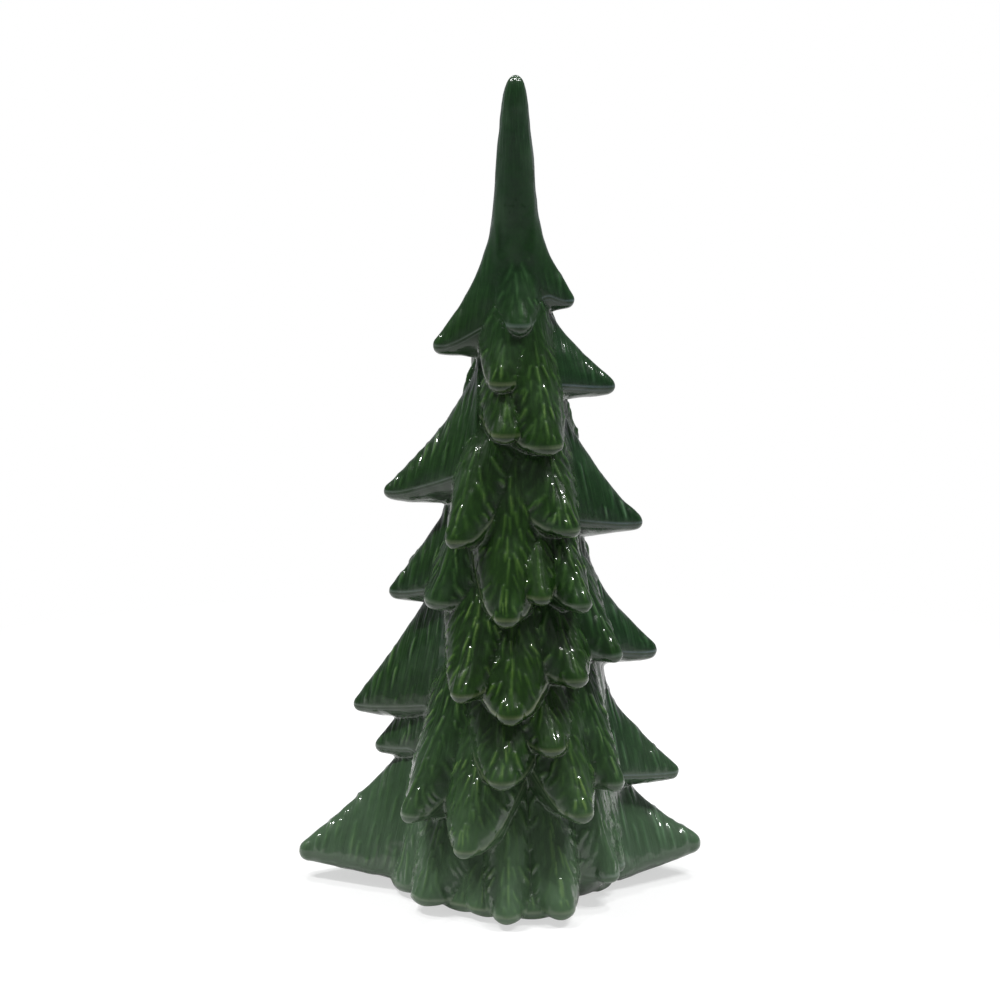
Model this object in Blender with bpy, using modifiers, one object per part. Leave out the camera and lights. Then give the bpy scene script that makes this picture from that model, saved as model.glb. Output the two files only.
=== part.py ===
"""Glazed ceramic fir tree figurine: one hollow slip-cast tree standing on felt pads.

Run it with blender --background --python part.py, or from Blender's text editor.
Units are metres and +Z is up. The figurine faces -Y and stands on the plane Z = 0.
The origin is in the middle of the figurine's outer box, on the table.
"""

import math
from collections import namedtuple

import bmesh
import bpy
from mathutils import Vector

MM = 0.001

# Trunk: the plain turned core that every bough grows out of, from the spire's nose to the foot
TREE_HEIGHT = 0.305
SHOULDER_HEIGHT = 0.205
SHOULDER_RADIUS = 0.014
BELLY_HEIGHT = 0.026
BELLY_RADIUS = 0.043
FOOT_RADIUS = 0.038
# spire points as (depth below the nose, radius)
SPIRE = (
    (0.0, 0.0),
    (0.0008, 0.0018),
    (0.0025, 0.0030),
    (0.0065, 0.0042),
    (0.0130, 0.0054),
    (0.0310, 0.0069),
    (0.0550, 0.0086),
)

# Casting: the slip wall, its floor, the hole it was drained through and the foot ring
WALL = 0.005
FLOOR = 0.0055
DRAIN_HOLE_RADIUS = 0.008
RECESS_DEPTH = 0.0015

# Boughs: their thickness at the tip, and how far the undersides hang towards the trunk
TIP_THICKNESS = 0.0062
RIM_CURVE = 1.25
KEEL_DROP = 0.0028
ROOT_DEPTH = 0.3

# Felt pads under the foot ring, each held by a film of glue
PAD_RADIUS = 0.005
PAD_THICKNESS = 0.0010
PAD_EDGE = 0.0002
GLUE_GAP = 0.0003
PAD_MARGIN = 0.001
FIRST_PAD_ANGLE = 45.0

# Mesh fineness
TRUNK_STEPS = 32
BOUGH_STATIONS = (0.0, 0.4, 0.72, 1.0)
TIP_ANGLES = (40.0, 68.0)
ARCH_ANGLES = (0, 38, 66, 90, 114, 142, 180, 225, 270, 315)
PAD_SIDES = 32
CUT_DEPTH = 0.004

# A bough seen from above: its azimuth from the front, + towards the right, and its reach from the
# trunk's axis; then the heights of its tip and root and its half widths there. bow bends its ridge,
# fullness rounds its sides, rim is how far the sides climb and arch how square its back is.
Bough = namedtuple(
    "Bough",
    "azimuth reach tip_height root_height half_width tip_half_width bow rim fullness arch",
)


def row(azimuth, lengths, *ratios):
    """One bough of the tables below, from degrees and millimetres."""
    return Bough(math.radians(azimuth), *[length * MM for length in lengths], *ratios)


def wing(azimuth, reach, tip, root, half_width, bow=1.4, rim=0.25):
    """A broad ridged bough with a narrow tip, as at the tree's two sides."""
    return row(azimuth, (reach, tip, root, half_width, 2.9), bow, rim, 0.9, 1.6)


def tongue(azimuth, reach, tip, root, half_width, tip_half_width, bow=1.2, rim=0.5):
    """A leaf-shaped bough with a full round end, as down the tree's front."""
    return row(azimuth, (reach, tip, root, half_width, tip_half_width), bow, rim, 0.75, 1.9)


# The boughs in rings from the spire down; the skirt's undersides run down to the foot
RINGS = {
    "crown": (
        wing(-80, 30.8, 206.5, 260, 13, 1.85),
        tongue(4, 22, 218, 258, 10.5, 4.6, 1.3),
        wing(80, 22.5, 223, 264, 11, 2.0),
        wing(130, 22, 221, 262, 11, 1.8),
        wing(182, 27, 214, 262, 13, 1.7),
    ),
    "second_ring": (
        tongue(-13, 27, 195, 230, 11.5, 5.4, rim=0.4),
        wing(84, 37.2, 191, 222, 15, 1.45),
        wing(138, 34, 193, 232, 14, 1.5),
        tongue(208, 29, 190, 226, 12, 4.6),
    ),
    "third_ring": (
        tongue(-8, 33, 177, 208, 12, 5.6, rim=0.3),
        tongue(21, 36, 173, 232, 14.5, 7.2, rim=0.2),
        wing(-90, 49.5, 150.5, 204, 23, 1.65, 0.34),
        tongue(128, 30, 168, 202, 11, 4.2),
        wing(172, 40, 166, 203, 15),
        tongue(220, 37, 160, 204, 14, 4.6),
    ),
    "fourth_ring": (
        tongue(-31, 45, 139, 182, 16.5, 4.8),
        tongue(-4, 50, 112.5, 190, 19, 5.4, rim=0.55),
        tongue(29, 43, 143, 186, 15.5, 6.4, rim=0.3),
        wing(90, 48, 138.5, 190, 17, 1.6),
        wing(133, 45, 138, 186, 15, 1.5),
        wing(196, 45, 134, 176, 16),
    ),
    "fifth_ring": (
        wing(-85, 47.8, 113, 158, 18, 1.4, 0.15),
        tongue(-52, 43, 118, 156, 16, 4.6),
        tongue(12, 48, 120, 160, 11.5, 4.6),
        tongue(32, 49, 116, 158, 12.5, 5),
        wing(91, 53.8, 88.5, 140, 18, 1.85),
        tongue(136, 42, 114, 150, 13, 4.6),
        wing(162, 50, 110, 152, 16),
        wing(234, 50, 116, 158, 16, 1.5),
    ),
    "sixth_ring": (
        wing(-92, 62, 67, 123, 20, 1.25),
        tongue(-22, 55, 84.5, 134, 18, 5.2, rim=0.5),
        tongue(-2, 57, 78, 130, 20, 5.2),
        tongue(27, 52, 89, 126, 17, 6, rim=0.4),
        tongue(54, 48, 94, 130, 16, 5),
        tongue(136, 49, 84, 122, 14, 5),
        wing(188, 56, 84, 130, 17),
    ),
    "seventh_ring": (
        wing(-89, 53.5, 51.5, 83, 16, 1.35),
        tongue(-5, 60, 54, 96, 16, 6.4),
        tongue(15, 56, 65, 100, 15, 6, rim=0.4),
        tongue(43, 57, 48.5, 100, 15, 5),
        wing(88, 63.2, 41.5, 82, 20, 1.7),
        wing(156, 60, 56, 98, 17, 1.6),
        wing(214, 60, 60, 104, 18, 1.5),
    ),
    "eighth_ring": (
        tongue(-41, 62, 38, 92, 16, 5),
        tongue(-17, 66, 29, 88, 18, 5.2),
        tongue(23, 65, 42, 102, 16, 5.6),
        wing(122, 60, 40, 72, 17, 1.7),
        wing(183, 66, 34, 78, 19),
        wing(232, 62, 40, 84, 17),
    ),
    "skirt": (
        wing(-88, 83, 10, 64, 24, 1.45, -0.1),
        tongue(-60, 52, 4.6, 44, 16, 11, rim=0.1),
        tongue(-35, 59, 6, 58, 17, 6.6, rim=0.1),
        tongue(-22, 54, 4.6, 36, 15, 12, rim=0.1),
        tongue(-11, 57, 4.6, 40, 13, 9, rim=0.1),
        tongue(-3, 65.5, 5, 62, 13, 5.6, rim=0.1),
        tongue(7, 62, 4.5, 36, 14, 12, rim=0.1),
        tongue(17, 64, 5.5, 64, 14.5, 6.2, rim=0.1),
        tongue(44, 54, 12, 58, 15.5, 5.6, rim=0.1),
        tongue(57, 49, 12, 42, 14, 5, rim=0.1),
        wing(90, 72, 12, 46, 22, 1.75, -0.15),
        wing(122, 66, 10, 46, 19, rim=-0.1),
        wing(150, 71, 9, 52, 20, rim=-0.1),
        wing(180, 64, 7, 44, 19, rim=-0.1),
        wing(207, 72, 9, 54, 20, rim=-0.1),
        wing(240, 69, 11, 50, 20, rim=-0.1),
    ),
}

FOOT_HEIGHT = PAD_THICKNESS + GLUE_GAP
PAD_CIRCLE_RADIUS = FOOT_RADIUS - PAD_MARGIN - PAD_RADIUS
RECESS_RADIUS = PAD_CIRCLE_RADIUS - PAD_RADIUS - PAD_MARGIN


def extent(direction):
    """How far the boughs reach from the trunk's axis in a direction given by its azimuth."""
    boughs = [bough for ring in RINGS.values() for bough in ring]
    return max(bough.reach * math.cos(bough.azimuth - direction) for bough in boughs)


def trunk_axis():
    """Where the trunk stands, so that the tree's outer box is centred on the origin."""
    right, left = extent(math.radians(90)), extent(math.radians(-90))
    front, rear = extent(0.0), extent(math.radians(180))
    return Vector(((left - right) / 2, (front - rear) / 2, 0.0))


def trunk_outline():
    """The trunk as (height, radius) points from the nose down to the table."""
    spire = [(TREE_HEIGHT - depth, radius) for depth, radius in SPIRE]
    shoulder, belly = (SHOULDER_HEIGHT, SHOULDER_RADIUS), (BELLY_HEIGHT, BELLY_RADIUS)
    return spire + [shoulder, belly, (0.0, FOOT_RADIUS)]


def trunk_radius(height):
    """Radius of the trunk at a height above the table."""
    outline = trunk_outline()
    for (above, narrow), (below, wide) in zip(outline, outline[1:]):
        if height >= below:
            return narrow + (above - height) / (above - below) * (wide - narrow)
    return FOOT_RADIUS


def material(name, colour, roughness, coat=0.0):
    made = bpy.data.materials.new(name)
    made.use_nodes = True
    shader = made.node_tree.nodes["Principled BSDF"]
    shader.inputs["Base Color"].default_value = (*colour, 1.0)
    shader.inputs["Roughness"].default_value = roughness
    shader.inputs["Metallic"].default_value = 0.0
    shader.inputs["Coat Weight"].default_value = coat
    made.diffuse_color = (*colour, 1.0)
    return made


def collection(name):
    made = bpy.data.collections.new(name)
    bpy.context.scene.collection.children.link(made)
    return made


def add_object(name, mesh, group, surface, smooth_angle=35.0):
    """A new object with smooth faces, apart from edges sharper than smooth_angle."""
    mesh.materials.append(surface)
    mesh.shade_smooth()
    mesh.set_sharp_from_angle(angle=math.radians(smooth_angle))
    made = bpy.data.objects.new(name, mesh)
    group.objects.link(made)
    return made


def helper(obj):
    """Marks a cutter or a shape that a Boolean reads, which isn't a part by itself."""
    obj.hide_render = True
    obj.display_type = "WIRE"
    return obj


def turned(name, profile, group, surface):
    """A solid of revolution about the trunk's axis from (radius, height) points, top to bottom."""
    mesh = bpy.data.meshes.new(name)
    points = [(radius, 0.0, height) for radius, height in profile]
    mesh.from_pydata(points, [(i, i + 1) for i in range(len(points) - 1)], [])
    made = add_object(name, mesh, group, surface)
    made.location = trunk_axis()
    screw = made.modifiers.new("turn", "SCREW")
    screw.steps = screw.render_steps = TRUNK_STEPS
    screw.use_merge_vertices = True
    screw.merge_threshold = 0.00005
    screw.use_normal_calculate = True
    return made


def trunk_profile():
    """The trunk's outline as (radius, height) points, closed a little below the table."""
    outline = [(radius, height) for height, radius in trunk_outline()]
    return outline + [(FOOT_RADIUS, -CUT_DEPTH), (0.0, -CUT_DEPTH)]


def cavity_profile():
    """Hollow, drain hole and foot recess as one outline: the trunk moved in by the wall."""
    recess_height = FOOT_HEIGHT + RECESS_DEPTH
    floor_height = recess_height + FLOOR
    shoulder = SHOULDER_RADIUS - WALL
    apex = SHOULDER_HEIGHT + 4 * shoulder
    return [
        (0.0, apex),
        (0.3 * shoulder, apex - 0.3 * shoulder),
        (shoulder, SHOULDER_HEIGHT),
        (BELLY_RADIUS - WALL, BELLY_HEIGHT),
        (trunk_radius(floor_height) - 2 * WALL, floor_height),
        (DRAIN_HOLE_RADIUS, floor_height),
        (DRAIN_HOLE_RADIUS, recess_height),
        (RECESS_RADIUS, recess_height),
        (RECESS_RADIUS, -2 * CUT_DEPTH),
        (0.0, -2 * CUT_DEPTH),
    ]


def on_arch(angle, power, half_width, rise, fall):
    """A point of a bough's cross-section, (sideways, up) from the middle of its rims."""
    sideways = math.copysign(abs(math.cos(angle)) ** (2 / power), math.cos(angle))
    upward = abs(math.sin(angle)) ** (2 / power)
    height = rise * upward if math.sin(angle) > 0 else -fall * upward
    return half_width * sideways, height


def bough_rings(bough, keel_drop):
    """The bough's cross-sections, from inside the trunk out to its rounded tip."""
    half_thickness = TIP_THICKNESS / 2
    root_radius = trunk_radius(bough.root_height)
    cap = min(bough.tip_half_width, TIP_THICKNESS)
    tip_centre = bough.reach - cap
    drop = bough.root_height - bough.tip_height
    axis = trunk_axis()
    outward = Vector((math.sin(bough.azimuth), -math.cos(bough.azimuth), 0.0))
    across = Vector((math.cos(bough.azimuth), math.sin(bough.azimuth), 0.0))

    def ring(radius, half_width, ridge, rim, keel):
        middle = axis + outward * radius
        points = []
        for degrees in ARCH_ANGLES:
            angle = math.radians(degrees)
            side, up = on_arch(angle, bough.arch, half_width, ridge - rim, rim - keel)
            points.append(middle + across * side + Vector((0.0, 0.0, rim + up)))
        return points

    rings = []
    for share in BOUGH_STATIONS:
        out = share**bough.bow
        radius = root_radius + (tip_centre - root_radius) * out
        ridge = bough.root_height - share * drop + half_thickness * share
        rim = bough.tip_height + bough.rim * drop * (1 - out) ** RIM_CURVE
        keel = bough.tip_height - half_thickness - keel_drop * (1 - out)
        spread = (1 - out) ** bough.fullness
        half_width = bough.tip_half_width + (bough.half_width - bough.tip_half_width) * spread
        rings.append(ring(radius, half_width, ridge, rim, keel))
        if share == 0.0:
            inner = ring(ROOT_DEPTH * root_radius, ROOT_DEPTH * half_width, ridge, rim, keel)
            rings.insert(0, inner)
    for degrees in TIP_ANGLES:
        shrink, beyond = math.cos(math.radians(degrees)), math.sin(math.radians(degrees))
        radius = tip_centre + cap * beyond
        ridge = bough.tip_height + half_thickness * shrink
        keel = bough.tip_height - half_thickness * shrink
        rings.append(ring(radius, bough.tip_half_width * shrink, ridge, bough.tip_height, keel))
    tip = axis + outward * bough.reach + Vector((0.0, 0.0, bough.tip_height))
    return rings, tip


def bough_mesh(name, bough, keel_drop):
    """A loft through the bough's cross-sections, closed by a face at the root and a point at the tip."""
    rings, tip = bough_rings(bough, keel_drop)
    shape = bmesh.new()
    loops = [[shape.verts.new(point) for point in ring] for ring in rings]
    count = len(ARCH_ANGLES)
    for inner, outer in zip(loops, loops[1:]):
        for i in range(count):
            j = (i + 1) % count
            shape.faces.new((inner[i], inner[j], outer[j], outer[i]))
    end = shape.verts.new(tip)
    for i in range(count):
        shape.faces.new((loops[-1][i], loops[-1][(i + 1) % count], end))
    shape.faces.new(list(reversed(loops[0])))
    bmesh.ops.recalc_face_normals(shape, faces=shape.faces)
    bmesh.ops.triangulate(shape, faces=shape.faces, quad_method="SHORT_EDGE")
    mesh = bpy.data.meshes.new(name)
    shape.to_mesh(mesh)
    shape.free()
    return mesh


def add_ring(name, boughs, glaze):
    """A ring's boughs, each its own helper solid, in a collection for the casting's union."""
    group = collection(name)
    group.hide_render = True
    for number, bough in enumerate(boughs):
        skirt_drop = bough.tip_height - TIP_THICKNESS / 2
        keel_drop = skirt_drop if name == "skirt" else KEEL_DROP
        label = f"{name}_bough_{number + 1:02d}"
        helper(add_object(label, bough_mesh(label, bough, keel_drop), group, glaze))
    return group


def add_foot_cutter(group, clay):
    """A block below the foot plane, wider than the tree, that leaves the casting a flat foot."""
    side = 4 * extent(0.0)
    depth = TREE_HEIGHT
    shape = bmesh.new()
    bmesh.ops.create_cube(shape, size=1.0)
    bmesh.ops.scale(shape, vec=(side, side, depth), verts=shape.verts)
    bmesh.ops.translate(shape, vec=(0.0, 0.0, FOOT_HEIGHT - depth / 2), verts=shape.verts)
    mesh = bpy.data.meshes.new("foot_cutter")
    shape.to_mesh(mesh)
    shape.free()
    return helper(add_object("foot_cutter", mesh, group, clay))


def boolean(obj, name, operation, **operand):
    """An exact Boolean that keeps the operand's material on the faces it makes."""
    modifier = obj.modifiers.new(name, "BOOLEAN")
    modifier.operation = operation
    modifier.solver = "EXACT"
    modifier.material_mode = "TRANSFER"
    for key, value in operand.items():
        setattr(modifier, key, value)


def add_casting(parts, cutters, glaze, clay):
    """The whole tree as one hollow casting: trunk and boughs joined, then the inside cut out."""
    casting = turned("tree_casting", trunk_profile(), parts, glaze)
    foot_cutter = add_foot_cutter(cutters, clay)
    cavity_cutter = helper(turned("cavity_cutter", cavity_profile(), cutters, clay))
    for name, boughs in RINGS.items():
        ring = add_ring(name, boughs, glaze)
        boolean(casting, f"join_{name}", "UNION", operand_type="COLLECTION", collection=ring)
    boolean(casting, "level_foot", "DIFFERENCE", object=foot_cutter)
    boolean(casting, "hollow_out", "DIFFERENCE", object=cavity_cutter)
    return casting


def add_pad(name, angle, parts, felt):
    """A round felt pad, its top a glue film below the foot ring and its face on the table."""
    bpy.ops.mesh.primitive_cylinder_add(
        vertices=PAD_SIDES, radius=PAD_RADIUS, depth=PAD_THICKNESS, end_fill_type="NGON"
    )
    pad = bpy.context.object
    pad.name = pad.data.name = name
    for group in list(pad.users_collection):
        group.objects.unlink(pad)
    parts.objects.link(pad)
    pad.data.materials.append(felt)
    outward = Vector((math.sin(angle), -math.cos(angle), 0.0))
    pad.location = trunk_axis() + outward * PAD_CIRCLE_RADIUS + Vector((0.0, 0.0, PAD_THICKNESS / 2))
    edge = pad.modifiers.new("soft_edge", "BEVEL")
    edge.width = PAD_EDGE
    edge.segments = 2
    edge.limit_method = "ANGLE"
    pad.data.shade_smooth()
    pad.data.set_sharp_from_angle(angle=math.radians(35))
    return pad


def main():
    for obj in list(bpy.data.objects):
        bpy.data.objects.remove(obj)
    parts = collection("fir_tree_figurine")
    cutters = collection("cutters")
    glaze = material("green_glaze", (0.030, 0.085, 0.022), 0.12, coat=1.0)
    clay = material("bare_clay", (0.72, 0.66, 0.57), 0.85)
    felt = material("grey_felt", (0.075, 0.075, 0.072), 0.95)
    add_casting(parts, cutters, glaze, clay)
    pad_names = ("pad_front_right", "pad_rear_right", "pad_rear_left", "pad_front_left")
    for number, name in enumerate(pad_names):
        angle = math.radians(FIRST_PAD_ANGLE + number * 360 / len(pad_names))
        add_pad(name, angle, parts, felt)


main()
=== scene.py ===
"""The looks of the glazed ceramic fir tree figurine.

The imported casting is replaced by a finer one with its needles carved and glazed, and the felt pads by
finer felt. Units are metres and +Z is up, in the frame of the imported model.
"""

import math
from collections import namedtuple

import bmesh
import bpy
import numpy as np
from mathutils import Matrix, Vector
from mathutils.kdtree import KDTree


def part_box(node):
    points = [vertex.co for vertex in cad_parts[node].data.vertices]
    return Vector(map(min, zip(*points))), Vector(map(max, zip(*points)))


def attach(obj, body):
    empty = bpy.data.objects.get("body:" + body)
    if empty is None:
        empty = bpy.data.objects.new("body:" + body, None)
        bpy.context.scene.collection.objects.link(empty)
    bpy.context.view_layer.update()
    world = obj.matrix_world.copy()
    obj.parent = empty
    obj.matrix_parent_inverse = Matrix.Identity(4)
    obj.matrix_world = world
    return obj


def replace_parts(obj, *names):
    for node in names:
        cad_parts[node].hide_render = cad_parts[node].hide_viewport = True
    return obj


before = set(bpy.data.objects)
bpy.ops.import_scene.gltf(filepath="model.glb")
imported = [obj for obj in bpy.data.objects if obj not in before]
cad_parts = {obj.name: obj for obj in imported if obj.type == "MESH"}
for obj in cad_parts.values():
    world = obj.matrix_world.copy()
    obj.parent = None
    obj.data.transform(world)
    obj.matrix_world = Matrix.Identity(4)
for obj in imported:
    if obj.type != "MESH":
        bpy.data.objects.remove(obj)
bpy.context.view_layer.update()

MM = 0.001

# Trunk, casting and pads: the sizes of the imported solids
TREE_HEIGHT = 0.305
SHOULDER_HEIGHT = 0.205
SHOULDER_RADIUS = 0.014
BELLY_HEIGHT = 0.026
BELLY_RADIUS = 0.043
FOOT_RADIUS = 0.038
SPIRE = (
    (0.0, 0.0),
    (0.0008, 0.0018),
    (0.0025, 0.0030),
    (0.0065, 0.0042),
    (0.0130, 0.0054),
    (0.0310, 0.0069),
    (0.0550, 0.0086),
)
WALL = 0.005
FLOOR = 0.0055
DRAIN_HOLE_RADIUS = 0.008
RECESS_DEPTH = 0.0015
RECESS_RADIUS = 0.026
FOOT_HEIGHT = 0.0013
TIP_THICKNESS = 0.0062
RIM_CURVE = 1.25
KEEL_DROP = 0.0028
ROOT_DEPTH = 0.3

# Two kinds of bough: side ones with a straight ridge, and broad front ones
WING_ARCH = 1.6
WING_FULLNESS = 0.9
TONGUE_ARCH = 1.9
TONGUE_FULLNESS = 0.75
ROUND_ARCH = 2.0

# Ends of the boughs. A wing's end is a half ball of this radius in mm, fuller in the skirt.
WING_TIP = 3.4
SKIRT_TIP = 4.5
SKIRT_TOP = 20
TONGUE_NOSE = 0.0026
TIP_BLUNTNESS = 2.6

# Fineness of the casting, its rounds of smoothing, and the number of its triangles
VOXEL = 0.00058
SOFTENING = 7
FACE_TARGET = 290_000

# What counts as the casting's inside: this deep under the trunk's skin, below this height
INSIDE_DEPTH = 0.0035
INSIDE_TOP = 0.245

# What smoothing takes off the spire's tip and where, and where crown roots melt into the spire
TIP_LOSS = 0.0007
TIP_FROM = (0.285, 0.304)
CROWN_ROOTS = (0.224, 0.270)
CROWN_ROUNDS = 260
SPIRE_TOP = TREE_HEIGHT - 0.012

# Carving, in metres: needles stand proud of the flanks, with a furrow on each side
NEEDLE_HEIGHT = 0.00050
FURROW_DEPTH = 0.00014
FURROW_LIMIT = 0.3
NEEDLE_HALF_WIDTH = 0.00090
NEEDLE_SPACING = 0.0031
NEEDLE_SWAY = 0.0006
WING_LEAN = 0.30
TONGUE_SPREAD = 0.62
PLEAT_DEPTH = 0.00042
PLEAT_CELLS = (0.0042, 0.0018)
WING_PLEATS = 0.4
RIM_BEAD = 0.00010
BEAD_WIDTH = 0.0009
WING_BEAD = 0.3
UNDERSIDE_WAVE = 0.00022
TRUNK_FOLD = 0.00045
BRUSH_MARK = 0.00013

# Where things fade in or out: undersides and needles above a hem, the rest above the table
UNDERSIDE_TO = (-0.0012, 0.0004)
NEEDLES_FROM = (0.0008, 0.0035)
NEEDLES_TO = (0.232, 0.246)
NEEDLES_CALM = (0.196, 0.214)
FOLDS_TO = (0.190, 0.204)
STREAKS_TO = (0.226, 0.240)
STREAKS_AGAIN = (0.266, 0.280)
CROWN_COOLS = (0.190, 0.235)
# Up to this height the glaze is painted paler, as painted light from the table below
PAINTED_TABLE_LIGHT_TO = 0.125

# How far above and below a bough's hem the glaze follows it, in mm, and where it is bluish
HEM_REACH = 9.0
WING_HEM = 1.7
TRUNK_COOL = 0.75
CROWN_COOL = 0.72

# Curvature in metres at which glaze is fully pooled, or fully worn
POOLED = 0.0009
WORN = 0.00030

# The glaze's colours from pooled to thin, at its hems, in its pale blotches and in the painted light
# from the table below, and its shifts in hue
BLACK, GREY, WHITE = (0.0, 0.0, 0.0), (0.5, 0.5, 0.5), (1.0, 1.0, 1.0)
GLAZE = (
    (0.00, (0.0045, 0.0180, 0.0031)),
    (0.25, (0.0095, 0.0325, 0.0058)),
    (0.40, (0.0145, 0.0445, 0.0080)),
    (0.65, (0.0310, 0.0760, 0.0170)),
    (0.95, (0.0870, 0.1480, 0.0460)),
)
HEM_COLOUR = (0.135, 0.165, 0.112)
BLOTCH_AND_TABLE_LIGHT_COLOUR = (0.155, 0.250, 0.152)
COOLER = (0.85, 1.05, 1.75)
WARMER = (1.12, 1.12, 0.55)

# Pale lines of thin glaze, by mm above a hem
HEM_LINES = ((-2.9, BLACK), (-2.1, GREY), (-1.3, BLACK), (-0.5, BLACK), (0.2, WHITE), (1.5, BLACK))

# The room that the glaze mirrors, from level (0.5) to straight up (1)
ROOM = (
    (0.50, (0.25, 0.26, 0.27)),
    (0.58, (0.17, 0.18, 0.18)),
    (0.68, (0.09, 0.09, 0.09)),
    (0.82, (0.11, 0.11, 0.11)),
    (0.93, (0.22, 0.22, 0.23)),
    (1.00, (0.28, 0.28, 0.29)),
)

# The floor near the tree: how much of its white glows, and how much of that white is mirrored.
# Both change between these two distances, and so does the floor's colour, painted darker away from the
# tree as painted falloff of light.
FLOOR_GLOW = 0.6
MIRRORED_GLOW = 0.27
NEAR_TO_FAR = (0.10, 0.45)
FLOOR_PAINTED_FALLOFF = ((0.58, 0.58, 0.57), (0.30, 0.30, 0.30))

# The camera, fitted to the photograph
CAMERA_PLACE = (0.0, -1.0760, 0.3787)
CAMERA_TARGET = (0.0, 0.0, 0.150)
LENS = 105.53
SHIFT = (-0.0004, -0.00827)

# Pads: shares of the radius and of the height up the edge, then the fibres' number and half width
PAD_RADII = (0.45, 0.80, 0.95, 0.995, 1.0, 0.985, 0.93, 0.5)
PAD_HEIGHTS = (0.0, 0.0, 0.04, 0.25, 0.55, 0.85, 1.0, 1.0)
FIBRES = 420
FIBRE = 0.00002

# Small round lamps overhead, and the (azimuth, elevation, power in watts) of each
LAMP_SIZE = 0.12
LAMP_DISTANCE = 1.6
LAMPS = (
    (-97, 50, 6.2),
    (-86, 57, 6.2),
    (-74, 64, 6.2),
    (70, 64, 6.2),
    (84, 52, 6.2),
    (97, 59, 6.2),
    (140, 58, 6.8),
    (222, 58, 6.8),
)

Bough = namedtuple(
    "Bough",
    "azimuth reach tip_height root_height half_width tip_half_width bow rim fullness arch",
)

Stroke = namedtuple("Stroke", "a b lean length half_width strength")


def row(azimuth, lengths, *ratios):
    return Bough(math.radians(azimuth), *[length * MM for length in lengths], *ratios)


def wing(azimuth, reach, tip, root, half_width, bow=1.4, rim=0.10):
    end = SKIRT_TIP if tip < SKIRT_TOP else WING_TIP
    return row(azimuth, (reach, tip, root, half_width, end), bow, rim, WING_FULLNESS, WING_ARCH)


def tongue(azimuth, reach, tip, root, half_width, end, bow=1.2, rim=0.5):
    return row(azimuth, (reach, tip, root, half_width, end), bow, rim, TONGUE_FULLNESS, TONGUE_ARCH)


def is_wing(bough):
    return bough.arch == WING_ARCH


def in_skirt(bough):
    return bough.tip_height < SKIRT_TOP * MM


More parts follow.
